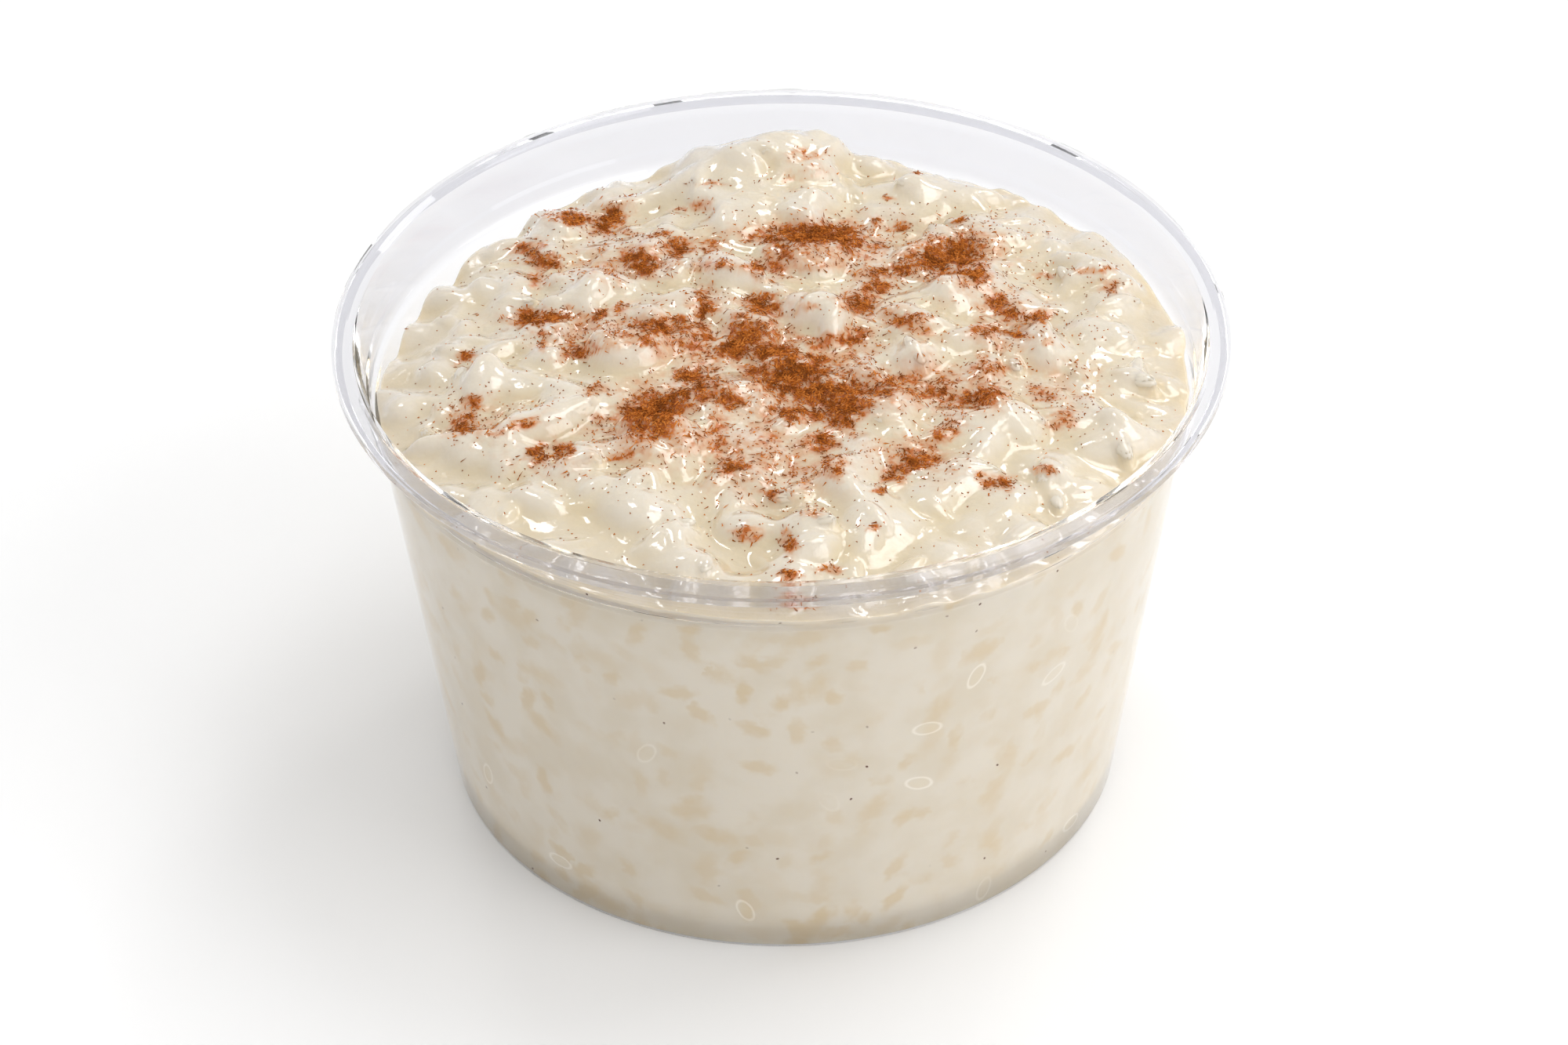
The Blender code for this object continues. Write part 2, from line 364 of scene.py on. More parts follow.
def mound(x, y):
    """The heap's broad form: wall level, low dome, lumps and ripple. Also how free of the wall it is."""
    angle = np.arctan2(y, x)
    level = wall_level(angle)
    share = np.minimum(1, np.hypot(x, y) / (wall_radius(level - LEDGE_CLEARANCE) - BITE))
    height = level + (CENTRE_LEVEL - level) * (1 - share**DOME_POWER)
    rise = np.zeros_like(height)
    for middle_x, middle_y, half_length, half_width, turn, lift in LUMPS:
        turn = math.radians(turn)
        along = (x - middle_x) * math.cos(turn) + (y - middle_y) * math.sin(turn)
        across = (y - middle_y) * math.cos(turn) - (x - middle_x) * math.sin(turn)
        rise += lift * np.maximum(0, 1 - (along / half_length) ** 2 - (across / half_width) ** 2)
    ripple = [noise.noise((u / RIPPLE_SIZE, v / RIPPLE_SIZE, 0)) for u, v in zip(x.ravel(), y.ravel())]
    rise += RIPPLE * np.array(ripple).reshape(x.shape)
    calm = np.minimum(1, CALM_SLOPE * (1 - share) + CALM_LEAST)
    return height + rise * calm, calm


def softened(heights, width):
    """A height field blurred by a bell curve that is width millimetres wide."""
    reach = int(math.ceil(3 * width / CELL))
    steps = np.arange(-reach, reach + 1) * CELL
    bell = np.exp(-0.5 * (steps / width) ** 2)
    bell /= bell.sum()
    padded = np.pad(heights, reach, mode="edge")
    rows = np.apply_along_axis(np.convolve, 0, padded, bell, mode="valid")
    return np.apply_along_axis(np.convolve, 1, rows, bell, mode="valid")


def blend_up(low, high, width):
    """The higher of two surfaces, with a fillet of cream where they cross."""
    near = np.maximum(width - np.abs(low - high), 0) / width
    return np.maximum(low, high) + near * near * width / 4


def grain_top(x, y, grain):
    """The upper surface of one grain over points of the plan, falling away steeply past its edge."""
    turn = grain["turn"].to_matrix()
    size = Matrix.Diagonal([2 / part for part in grain["size"]])
    form = np.array(turn @ size @ size @ turn.transposed())
    dx = x - grain["place"][0]
    dy = y - grain["place"][1]
    slope = form[0, 2] * dx + form[1, 2] * dy
    flat = form[0, 0] * dx * dx + 2 * form[0, 1] * dx * dy + form[1, 1] * dy * dy - 1
    inside = slope * slope - form[2, 2] * flat
    climb = np.sqrt(np.maximum(inside, 0)) - 2.5 * np.sqrt(np.maximum(-inside, 0))
    return grain["place"][2] + (climb - slope) / form[2, 2]


grid_axis = np.arange(-REACH, REACH + CELL, CELL)
grid_x, grid_y = np.meshgrid(grid_axis, grid_axis, indexing="ij")
heap, calm = mound(grid_x, grid_y)


def at_point(field, x, y):
    """A field's value between its cells."""
    column = np.clip((np.asarray(x) + REACH) / CELL, 0, len(grid_axis) - 1.001)
    row = np.clip((np.asarray(y) + REACH) / CELL, 0, len(grid_axis) - 1.001)
    i = column.astype(int)
    j = row.astype(int)
    s = column - i
    t = row - j
    near = field[i, j] * (1 - s) * (1 - t) + field[i + 1, j] * s * (1 - t)
    return near + field[i, j + 1] * (1 - s) * t + field[i + 1, j + 1] * s * t


# Clots and grains under the cream: how many, then length, width, thickness and rise in millimetres
COATED = (
    (150, (8.0, 12.0), (5.0, 7.5), (3.6, 5.0), (-0.2, 1.9)),
    (210, (4.5, 9.0), (2.8, 4.0), (2.6, 3.4), (0.2, 1.3)),
)
COATED_SEED = 11
COATED_REACH = 53.5
COATED_TILT = 0.25

# Clots that lean on the wall round the back: direction in degrees, radius, length, width, height of the top
LEANING = (
    (92, 49.5, 9, 7, 64.2),
    (103, 50, 8, 6, 61.9),
    (119, 50.5, 7, 5, 58.6),
    (130, 51, 5.5, 4.5, 60.2),
    (139.5, 50.5, 6, 4.5, 58.9),
    (147, 50.5, 4, 3.5, 57.8),
    (153.5, 50.5, 5.5, 4.5, 58.3),
    (162, 50.5, 5, 4, 57.1),
    (174, 50, 7, 5, 57.6),
    (184, 50, 7, 5, 59.0),
    (28, 51, 8, 5, 60.6),
    (62, 51, 8, 5, 60.4),
    (76, 50.5, 7, 5, 62.2),
)
LEAN_TURN = 1.6

# Gaps between those clots: direction, half width in degrees and depth
GAPS = (
    (113, 5, 1.0),
    (133.5, 2.6, 1.4),
    (148, 2.2, 1.8),
    (158, 2.2, 1.0),
    (167, 3.0, 1.4),
)
GAP_START = 52.5
GAP_REACH = 3.5
FILLET = 1.8
WINDOW = 13.0

# How wide the cream smooths the heap, before and after the clots, and how it fills the deepest hollows
FIRST_SMOOTHING = 1.1
LAST_SMOOTHING = 0.6
FILLED_WIDTH = 2.2
FILLED_DEPTH = 0.8
FILLED_FILLET = 0.8
HOLLOW_WIDTH = 2.6


def press_in(surface, x, y, grain, fillet):
    """Raise a surface where a grain comes through it, with a fillet of cream round the grain."""
    left = max(0, int((x - WINDOW / 2 + REACH) / CELL))
    low = max(0, int((y - WINDOW / 2 + REACH) / CELL))
    span = int(WINDOW / CELL)
    window = (slice(left, left + span), slice(low, low + span))
    top = grain_top(grid_x[window], grid_y[window], grain)
    surface[window] = blend_up(surface[window], top, fillet)


draw = random.Random(COATED_SEED)
heap = softened(heap, FIRST_SMOOTHING)
for count, lengths, widths, thicknesses, rises in COATED:
    under = heap.copy()
    for _ in range(count):
        radius = COATED_REACH * math.sqrt(draw.random())
        angle = draw.uniform(0, math.tau)
        x = radius * math.cos(angle)
        y = radius * math.sin(angle)
        thickness = draw.uniform(*thicknesses)
        rise = draw.uniform(*rises) * float(at_point(calm, x, y))
        grain = {
            "size": (draw.uniform(*lengths), draw.uniform(*widths), thickness),
            "place": (x, y, float(at_point(under, x, y)) + rise - thickness / 2),
            "turn": Euler((0, draw.uniform(-COATED_TILT, COATED_TILT), draw.uniform(0, math.pi))),
        }
        press_in(heap, x, y, grain, FILLET)
for direction, radius, length, width, top in LEANING:
    angle = math.radians(direction)
    x = radius * math.cos(angle)
    y = radius * math.sin(angle)
    clot = {
        "size": (length, width, width),
        "place": (x, y, top - width / 2),
        "turn": Euler((0, 0, angle + LEAN_TURN)),
    }
    press_in(heap, x, y, clot, FILLET)

heap = softened(heap, LAST_SMOOTHING)
heap = blend_up(heap, softened(heap, FILLED_WIDTH) - FILLED_DEPTH, FILLED_FILLET)
for direction, half_width, depth in GAPS:
    aside = np.degrees(np.arctan2(grid_y, grid_x)) - direction
    inward = np.maximum(0, GAP_START - np.hypot(grid_x, grid_y))
    heap = heap - depth * np.exp(-((aside / half_width) ** 2) - (inward / GAP_REACH) ** 2)
# How deep each point lies in a hollow: the top's material darkens and yellows the cream there, partly for
# thin pooled cream and partly as painted shade.
hollow = softened(heap, HOLLOW_WIDTH) - heap

# Grains whose backs come through: the ones that the plain solid has, at the same places, and smaller ones
# between them
GRAINS = 84
GRAIN_LENGTH = (5.4, 7.2)
GRAIN_WIDTH = (2.3, 2.9)
GRAIN_TILT = math.radians(16)
GRAIN_SPREAD = 7.6
GRAIN_REACH = 47.5
GRAIN_SEED = 7
SMALL_GRAINS = 40
SMALL_LENGTH = (4.4, 6.4)
SMALL_WIDTH = (1.9, 2.5)
SMALL_REACH = 50.5
GRAIN_HEIGHT = 0.8
GRAIN_SHOWS = 0.38
LEAST_SHOWN = 0.3
GRAIN_FILLET = 1.0
SKIN = 0.03


def grain_places():
    """Seeded draws over the mound that keep apart from one another."""
    draw = random.Random(GRAIN_SEED)
    places = []
    while len(places) < GRAINS:
        radius = GRAIN_REACH * math.sqrt(draw.random())
        angle = draw.uniform(0, math.tau)
        x = radius * math.cos(angle)
        y = radius * math.sin(angle)
        if all(math.hypot(x - other[0], y - other[1]) > GRAIN_SPREAD for other in places):
            places.append((x, y))
    return draw, places


draw, places = grain_places()
grains = []
for number in range(GRAINS + SMALL_GRAINS):
    if number < GRAINS:
        x, y = places[number]
        length = draw.uniform(*GRAIN_LENGTH)
        width = draw.uniform(*GRAIN_WIDTH)
    else:
        radius = SMALL_REACH * math.sqrt(draw.random())
        angle = draw.uniform(0, math.tau)
        x = radius * math.cos(angle)
        y = radius * math.sin(angle)
        length = draw.uniform(*SMALL_LENGTH)
        width = draw.uniform(*SMALL_WIDTH)
    tilt = draw.uniform(-GRAIN_TILT, GRAIN_TILT)
    heading = draw.uniform(0, math.pi)
    thickness = width * GRAIN_HEIGHT
    shown = draw.uniform(LEAST_SHOWN, 1.0) * GRAIN_SHOWS
    height = float(at_point(heap, x, y)) - thickness / 2 + shown
    grains.append(
        {"size": (length, width, thickness), "place": (x, y, height), "turn": Euler((0, tilt, heading))}
    )
for grain in grains:
    x, y, height = grain["place"]
    press_in(heap, x, y, {**grain, "place": (x, y, height - SKIN)}, GRAIN_FILLET)


def web_of_rings():
    """The top as rings of near-equal triangles: plan points in shares of the outline, and faces."""
    angles = [0.0]
    shares = [0.0]
    faces = []
    first = [0, 1]
    for ring in range(1, RINGS + 1):
        count = 6 * ring
        angles += [math.tau * step / count for step in range(count)]
        shares += [ring / RINGS] * count
        first.append(first[-1] + count)
        outer = first[ring]
        inner = first[ring - 1]
        inner_count = max(1, count - 6)
        for sector in range(6):
            for step in range(ring):
                here = outer + sector * ring + step
                after = outer + (sector * ring + step + 1) % count
                near = inner + (sector * (ring - 1) + step) % inner_count
                faces.append((here, after, near))
                if step:
                    faces.append((inner + sector * (ring - 1) + step - 1, here, near))
    return np.array(angles), np.array(shares), faces


def pudding_mesh():
    """The mound on top, the side that the wall shapes, and a flat bottom, as one closed mesh."""
    angles, shares, faces = web_of_rings()
    edge = wall_radius(wall_level(angles) - LEDGE_CLEARANCE)
    for _ in range(3):
        edge_height = at_point(heap, edge * np.cos(angles), edge * np.sin(angles))
        edge = wall_radius(edge_height - LEDGE_CLEARANCE * EDGE_DROP)
    radii = edge * shares
    x = radii * np.cos(angles)
    y = radii * np.sin(angles)
    points = np.stack([x, y, at_point(heap, x, y)], 1)
    side = np.zeros(len(points))
    count = 6 * RINGS
    outline = points[-count:]
    turn = angles[-count:]
    above = len(points) - count
    floor = FLOOR - BITE
    for row in range(1, SIDE_ROWS + 1):
        share = (row / SIDE_ROWS) ** ROW_GATHER
        height = outline[:, 2] * (1 - share) + floor * share
        radius = wall_radius(height)
        ring = np.stack([radius * np.cos(turn), radius * np.sin(turn), height], 1)
        below = len(points)
        points = np.concatenate([points, ring])
        side = np.concatenate([side, np.ones(count)])
        for step in range(count):
            after = (step + 1) % count
            faces.append((below + step, below + after, above + after, above + step))
        above = below
    faces.append(tuple(range(above + count - 1, above - 1, -1)))
    mesh = bpy.data.meshes.new("pudding")
    mesh.from_pydata((points * MM).tolist(), [], faces)
    mesh.shade_smooth()
    return mesh, points, side


def store(mesh, name, values):
    """Keep one number for each point of the mesh, for its material and its nodes to read."""
    layer = mesh.attributes.new(name, "FLOAT", "POINT")
    layer.data.foreach_set("value", np.asarray(values, dtype=np.float32))


# Where the cinnamon fell thickly: middle x and y, half length, half width in millimetres, turn, thickness
DUSTINGS = (
    (4, 30, 6.5, 2.6, 5, 1.0),
    (9.5, 28, 4, 2.4, -40, 0.8),
    (22.5, 25, 5.5, 3.2, 25, 1.0),
    (26, 20.5, 2, 3, 0, 0.8),
    (17, 21.5, 5.5, 1.6, 12, 0.75),
    (-19, 24, 2.4, 3.2, 20, 0.95),
    (-14, 27, 1.8, 2, 0, 0.75),
    (-9, 27.5, 1.3, 1.3, 0, 0.6),
    (-9, 22.5, 3, 1, 0, 0.5),
    (-28, 34.5, 2.6, 1.3, -10, 0.9),
    (-23.3, 34, 1.8, 3.2, -15, 0.95),
    (-34, 27, 2, 1.5, 20, 0.8),
    (-31.5, 24, 2.6, 1.6, -50, 0.8),
    (-32, 19.5, 1.6, 2.4, 0, 0.5),
    (-10.5, 37, 1.1, 1.1, 0, 0.6),
    (-13.6, 36.4, 0.8, 0.8, 0, 0.5),
    (-31.5, 11, 4, 1.6, 8, 0.85),
    (-24.5, 11, 3, 1, 0, 0.6),
    (-21.5, 12.5, 1.5, 0.8, 20, 0.55),
    (-26, 3, 2.2, 1.2, 25, 0.85),
    (-27.5, 5, 0.8, 1.8, 10, 0.5),
    (-31.5, 6, 0.8, 2.4, 0, 0.5),
    (-16, 8.5, 4.4, 2, 5, 0.8),
    (-10, 13, 1.5, 4, 0, 0.8),
    (-5.5, 7, 4.6, 3.2, -20, 0.95),
    (-6.5, 3.2, 3, 2.2, 30, 1.0),
    (-17, 4.5, 2.6, 1.5, -15, 0.75),
    (-11, 4.5, 3.4, 2.2, 0, 0.6),
    (-3, 13.3, 3.4, 1.4, -30, 0.85),
    (-1.5, 15, 1, 1, 0, 0.6),
    (-2, 22, 3.4, 1.6, 10, 0.6),
    (1, 25, 4, 1.6, 30, 0.6),
    (1.5, -2.5, 5, 4, 0, 1.0),
    (5, -7, 5.5, 3, -10, 0.95),
    (-1, 1.5, 4, 2.2, -25, 0.9),
    (8.5, -12, 2.8, 3.6, 10, 1.0),
    (2.5, -12, 4, 2.2, 0, 0.75),
    (-15.8, -12.3, 4.4, 4, -20, 1.2),
    (-13, -8, 4, 2, 25, 0.85),
    (-7, -8.5, 2.6, 2, 20, 0.9),
    (-9, -5, 3, 1, 25, 0.55),
    (-12, -3, 2, 1.8, 0, 0.75),
    (-9, -14.5, 2, 3, 0, 0.6),
    (25.5, -8.5, 2.8, 2, 10, 1.0),
    (20.5, -8, 3, 1.8, -10, 0.7),
    (13.5, -6, 4, 1.5, 20, 0.7),
    (27, -2.5, 2, 2.6, 0, 0.65),
    (15.5, -1, 3, 1.6, 40, 0.5),
    (28.5, 13.5, 1.3, 2.2, 10, 0.8),
    (30.5, 10.5, 1.8, 1.3, 0, 0.8),
    (34, 9.5, 1.6, 1.5, 0, 0.7),
    (26.5, 6.8, 2, 1, 0, 0.65),
    (31.2, 5.6, 1.4, 0.7, -20, 0.7),
    (17, 9, 3, 2, -15, 0.7),
    (19.5, 7, 2, 1, 0, 0.6),
    (10.5, 13.5, 2, 2.6, 30, 0.7),
    (13, 17, 3, 1.6, 20, 0.65),
    (3.8, 12.6, 1.1, 0.9, 0, 0.7),
    (8, 5, 3.4, 1.6, 10, 0.75),
    (4, 3.8, 2, 1.3, 0, 0.6),
    (17, -22, 2.6, 1.9, 0, 0.95),
    (14.5, -25.5, 1.8, 1.5, 40, 0.7),
    (20.5, -17, 1.4, 3.4, -35, 0.55),
    (5, -18.5, 2, 2, 0, 0.75),
    (6.3, -24, 1.5, 2.6, 0, 0.55),
    (-1.5, -17.5, 2.2, 2, 0, 0.5),
    (-6, -23.6, 2, 1.8, 0, 0.75),
    (-8, -19, 1.6, 2.2, 0, 0.6),
    (2, -25.5, 1.8, 2.2, 0, 0.45),
    (-20, -20.7, 2.2, 0.7, 25, 0.7),
    (-31.2, -20.5, 1.1, 2.6, -10, 0.75),
    (-27.9, -19.6, 1.4, 1.4, 0, 0.75),
    (-41, -13, 1.5, 2.8, -20, 0.75),
    (-40, -9, 1, 1.8, 10, 0.65),
    (-37, -15, 3, 0.8, 15, 0.4),
    (-33.3, -13.5, 1.8, 0.8, 30, 0.65),
    (-41.5, 1.4, 1.5, 0.9, 40, 0.8),
    (-24.4, -6.4, 1.5, 1.2, 0, 0.65),
    (-24, -12, 1, 1.2, 0, 0.5),
    (-4.5, -37.6, 1.5, 1.2, 0, 0.75),
    (0.7, -39.7, 0.8, 1.9, 0, 0.8),
    (-1, -29.2, 1.2, 0.8, 0, 0.7),
    (3.7, -33.6, 0.9, 0.9, 0, 0.75),
    (11.2, -36.6, 0.9, 0.7, 0, 0.55),
    (6, -45.6, 1.1, 0.8, 0, 0.7),
    (0.6, -46.8, 1.2, 0.8, 0, 0.8),
    (12.3, -29, 1, 0.8, 0, 0.55),
    (27.3, -27.6, 1.4, 1.2, 0, 0.85),
    (24.8, -26, 0.6, 0.8, 0, 0.7),
    (33.2, -25, 1.2, 0.9, 0, 0.55),
    (36, -14, 1.9, 2.4, -20, 0.5),
    (34, -8, 3, 2.4, 0, 0.35),
    (42.6, 20.6, 2.6, 0.9, 0, 0.6),
    (44, 16.5, 1.8, 1.8, 0, 0.4),
    (35.6, 19.6, 1.6, 0.7, 0, 0.45),
    (16, 31.6, 1.3, 0.9, 20, 0.75),
    (13, 33.2, 0.9, 0.8, 0, 0.65),
    (14.6, 38.4, 0.9, 0.7, 0, 0.5),
    (24.4, 33.3, 0.6, 0.7, 0, 0.9),
    (-16.5, 30.6, 1.8, 0.5, 20, 0.7),
    (-21, 30.8, 1.6, 0.6, 10, 0.6),
    (35, 3.6, 0.8, 0.8, 0, 0.5),
    (3.5, 50, 3, 1.4, 0, 0.4),
    (4, 46, 3.6, 2.2, 0, 0.25),
    (-10, 43, 2.2, 0.6, 0, 0.4),
    (1.5, 43.6, 1.2, 0.5, 0, 0.6),
    (19, 45.2, 0.5, 0.4, 0, 0.9),
    (1.5, -52, 3, 1.6, 0, 0.4),
    (-13, 5, 11, 6, 0, 0.34),
    (0, -2, 13, 9, -10, 0.4),
    (16, -6, 12, 7, 0, 0.32),
    (20, 22, 10, 5, 10, 0.34),
    (3, 26, 10, 6, 0, 0.34),
    (-22, 22, 11, 8, 0, 0.24),
    (-25, 8, 13, 5, 0, 0.26),
    (-2, -22, 9, 9, 0, 0.28),
    (16, -20, 8, 5, -40, 0.26),
    (-15, -14, 9, 8, 0, 0.34),
    (28, 8, 8, 9, 0, 0.24),
    (-39, -12, 6, 7, 0, 0.2),
    (-30, -22, 8, 5, 0, 0.16),
    (36, -6, 7, 7, 0, 0.2),
)

# Lumps that stayed nearly clean: middle x and y, half length, half width, turn
CLEAN = (
    (-6.5, 17.5, 2.6, 4.5, 15),
    (5.5, 9, 3.6, 3.2, 0),
    (4.5, 17.5, 3.5, 2.8, 20),
    (13, -14, 4.4, 3.4, 0),
    (15.5, 0.5, 3.2, 3.4, 0),
    (22.5, 9, 3.2, 5.5, 0),
    (-27, 17, 5, 4, 0),
    (-17, 17, 4, 2.6, 0),
    (-20, 0, 4, 4, 0),
    (-11.5, -13, 2.8, 3, 0),
    (-6, -4.5, 1.4, 4.5, 25),
    (23, 2.5, 3, 2.6, 0),
    (-8, 8.5, 1.6, 5, 0),
    (-37, 6, 4, 4, 0),
    (19, 16, 4, 2, 0),
    (-24, -9, 3, 2, 0),
    (-38, -3, 6, 3, -20),
    (-5, 26, 3, 2, 0),
)
SCATTER_REACH = 44.0
DRIFT = 0.9
DRIFT_SIZE = 2.2
RAGGED_SIZE = 1.4
HAZE = 0.05
HAZE_SIZE = 4.0
STREAK_DOWN = 2.0

# The patches lie where the eye of the camera sees them, so their places were read on a level plane
EYE = (0.1, -570.8, 457.5)
SIGHT_LEVEL = 62.0


def fractal(x, y, size, layers, offset):
    """Cloudy noise over plan points, with its coarsest patches size millimetres wide."""
    pairs = zip(np.ravel(x) / size, np.ravel(y) / size)
    return np.array([noise.fractal((u, v, offset), 0.6, 2.0, layers) for u, v in pairs])


def inside_of(x, y, oval):
    """How far out plan points are in an oval: 0 at its middle and 1 on its edge."""
    middle_x, middle_y, half_length, half_width, turn = oval
    turn = math.radians(turn)
    along = (x - middle_x) * math.cos(turn) + (y - middle_y) * math.sin(turn)
    across = (y - middle_y) * math.cos(turn) - (x - middle_x) * math.sin(turn)
    return (along / half_length) ** 2 + (across / half_width) ** 2


def dusting(points):
    """How thickly the cinnamon lies at points: ragged patches, broad stains and a thin scatter."""
    share = (EYE[2] - SIGHT_LEVEL) / (EYE[2] - points[:, 2])
    x = EYE[0] + (points[:, 0] - EYE[0]) * share
    y = EYE[1] + (points[:, 1] - EYE[1]) * share
    drift_x = x + DRIFT * fractal(x, y, DRIFT_SIZE, 3, 3.1)
    drift_y = y + DRIFT * fractal(x, y, DRIFT_SIZE, 3, 7.7)
    thick = np.zeros_like(x)
    for *oval, depth in DUSTINGS:
        reach = inside_of(drift_x, drift_y, oval)
        core = depth * np.exp(-0.7 * reach)
        halo = 0.3 * depth * np.exp(-0.22 * reach)
        thick = np.maximum(thick, np.maximum(core, halo))
    for oval in CLEAN:
        thick *= 1 - 0.8 * np.exp(-inside_of(drift_x, drift_y, oval) ** 2)
    ragged = np.clip(0.95 + 0.7 * fractal(x, y, RAGGED_SIZE, 4, 1.7), 0.1, 1.5)
    middle = np.clip(1 - (np.hypot(x - 1, y - 4) / SCATTER_REACH) ** 2, 0, 1)
    haze = HAZE * middle * np.clip(1 + 2.2 * fractal(x, y, HAZE_SIZE, 4, 5.3), 0, 3.5)
    return np.clip(thick * ragged + haze, 0, 1.3)


pudding_shape, pudding_points, pudding_side = pudding_mesh()
pudding = bpy.data.objects.new("rice_pudding", pudding_shape)
bpy.context.scene.collection.objects.link(pudding)
on_top = 1 - pudding_side
plan_x = pudding_points[:, 0]
plan_y = pudding_points[:, 1]
store(pudding_shape, "hollow", at_point(hollow, plan_x, plan_y) * on_top)
below_edge = at_point(heap, plan_x, plan_y) - pudding_points[:, 2]
down_side = np.exp(-np.maximum(below_edge, 0) / STREAK_DOWN)
dust = dusting(pudding_points) * np.where(pudding_side > 0, down_side, 1)
store(pudding_shape, "dust", dust)


def group_inputs(tree, names):
    """Number inputs for a node group, by name and starting value."""
    for name, value in names:
        socket = tree.interface.new_socket(name=name, in_out="INPUT", socket_type="NodeSocketFloat")
        socket.default_value = value


def sum_of(nodes, links, operation, *values):
    """A Math node over sockets or plain numbers."""
    node = nodes.new("ShaderNodeMath")
    node.operation = operation
    for socket, value in zip(node.inputs, values):
        if isinstance(value, (int, float)):
            socket.default_value = value
        else:
            links.new(value, socket)
    return node.outputs["Value"]


def vector_of(nodes, links, operation, *values):
    """A Vector Math node over sockets or plain vectors."""
    node = nodes.new("ShaderNodeVectorMath")
    node.operation = operation
    for socket, value in zip((node.inputs[0], node.inputs[1]), values):
        if isinstance(value, tuple):
            socket.default_value = value
        else:
            links.new(value, socket)
    return node.outputs["Value"] if operation in ("DOT_PRODUCT", "LENGTH") else node.outputs["Vector"]


def scaled(nodes, links, vector, scale):
    """A vector made longer or shorter by a number."""
    node = nodes.new("ShaderNodeVectorMath")
    node.operation = "SCALE"
    links.new(vector, node.inputs[0])
    links.new(scale, node.inputs["Scale"])
    return node.outputs["Vector"]


def grain_group():
    """Soft ovals lying every way in an upright wall: grains seen through the cream at the tub's side."""
    tree = bpy.data.node_groups.new("grains_at_the_wall", "ShaderNodeTree")
    group_inputs(
        tree,
        (
            ("Cell", 0.007),
            ("Length", 0.0027),
            ("Width", 0.0012),
            ("Soft", 0.3),
            ("Ragged", 0.0006),
            ("Seed", 0),
        ),
    )
    for name in ("Oval", "Ring", "Strength"):
        tree.interface.new_socket(name=name, in_out="OUTPUT", socket_type="NodeSocketFloat")
    nodes, links = tree.nodes, tree.links
    given = nodes.new("NodeGroupInput")
    given_back = nodes.new("NodeGroupOutput")
    place = nodes.new("ShaderNodeTexCoord").outputs["Object"]
    frayed = nodes.new("ShaderNodeTexNoise")
    frayed.inputs["Scale"].default_value = 700
    frayed.inputs["Detail"].default_value = 2
    links.new(place, frayed.inputs["Vector"])
    about_zero = vector_of(nodes, links, "SUBTRACT", frayed.outputs["Color"], (0.5, 0.5, 0.5))
    fray = scaled(nodes, links, about_zero, given.outputs["Ragged"])
    per_cell = sum_of(nodes, links, "DIVIDE", 1.0, given.outputs["Cell"])
    stretched = scaled(nodes, links, vector_of(nodes, links, "ADD", place, fray), per_cell)
    shifted = vector_of(nodes, links, "ADD", stretched, given.outputs["Seed"])
    cells = nodes.new("ShaderNodeTexVoronoi")
    cells.inputs["Scale"].default_value = 1
    cells.inputs["Randomness"].default_value = 0.6
    links.new(shifted, cells.inputs["Vector"])
    away = vector_of(nodes, links, "SUBTRACT", shifted, cells.outputs["Position"])
    away = scaled(nodes, links, away, given.outputs["Cell"])
    outward = vector_of(nodes, links, "NORMALIZE", vector_of(nodes, links, "MULTIPLY", place, (1, 1, 0)))
    round_wall = vector_of(nodes, links, "CROSS_PRODUCT", (0, 0, 1), outward)
    level = vector_of(nodes, links, "DOT_PRODUCT", away, round_wall)
    rise = vector_of(nodes, links, "DOT_PRODUCT", away, (0, 0, 1))
    deep = vector_of(nodes, links, "DOT_PRODUCT", away, outward)
    chance = nodes.new("ShaderNodeSeparateColor")
    links.new(cells.outputs["Color"], chance.inputs["Color"])
    turn = sum_of(nodes, links, "MULTIPLY", chance.outputs["Red"], math.pi)
    cosine = sum_of(nodes, links, "COSINE", turn)
    sine = sum_of(nodes, links, "SINE", turn)
    level_along = sum_of(nodes, links, "MULTIPLY", level, cosine)
    rise_along = sum_of(nodes, links, "MULTIPLY", rise, sine)
    along = sum_of(nodes, links, "ADD", level_along, rise_along)
    along = sum_of(nodes, links, "DIVIDE", along, given.outputs["Length"])
    level_across = sum_of(nodes, links, "MULTIPLY", level, sine)
    rise_across = sum_of(nodes, links, "MULTIPLY", rise, cosine)
    across = sum_of(nodes, links, "SUBTRACT", rise_across, level_across)
    across = sum_of(nodes, links, "DIVIDE", across, given.outputs["Width"])
    along_squared = sum_of(nodes, links, "MULTIPLY", along, along)
    across_squared = sum_of(nodes, links, "MULTIPLY", across, across)
    reach = sum_of(nodes, links, "SQRT", sum_of(nodes, links, "ADD", along_squared, across_squared))
    edge = nodes.new("ShaderNodeMapRange")
    edge.interpolation_type = "SMOOTHSTEP"
    links.new(reach, edge.inputs["Value"])
    links.new(sum_of(nodes, links, "ADD", 1.0, given.outputs["Soft"]), edge.inputs["From Min"])
    links.new(sum_of(nodes, links, "SUBTRACT", 1.0, given.outputs["Soft"]), edge.inputs["From Max"])
    sunk = nodes.new("ShaderNodeMapRange")
    sunk.interpolation_type = "SMOOTHSTEP"
    sunk.inputs["From Min"].default_value = 0.003
    sunk.inputs["From Max"].default_value = 0.0008
    links.new(sum_of(nodes, links, "ABSOLUTE", deep), sunk.inputs["Value"])
    seen = sum_of(nodes, links, "MULTIPLY", edge.outputs["Result"], sunk.outputs["Result"])
    links.new(seen, given_back.inputs["Oval"])
    off = sum_of(nodes, links, "ABSOLUTE", sum_of(nodes, links, "SUBTRACT", reach, 1.25))
    ring = sum_of(nodes, links, "MULTIPLY", ranged(nodes, links, off, 0.3, 0.0), sunk.outputs["Result"])
    links.new(ring, given_back.inputs["Ring"])
    links.new(chance.outputs["Green"], given_back.inputs["Strength"])
    return tree


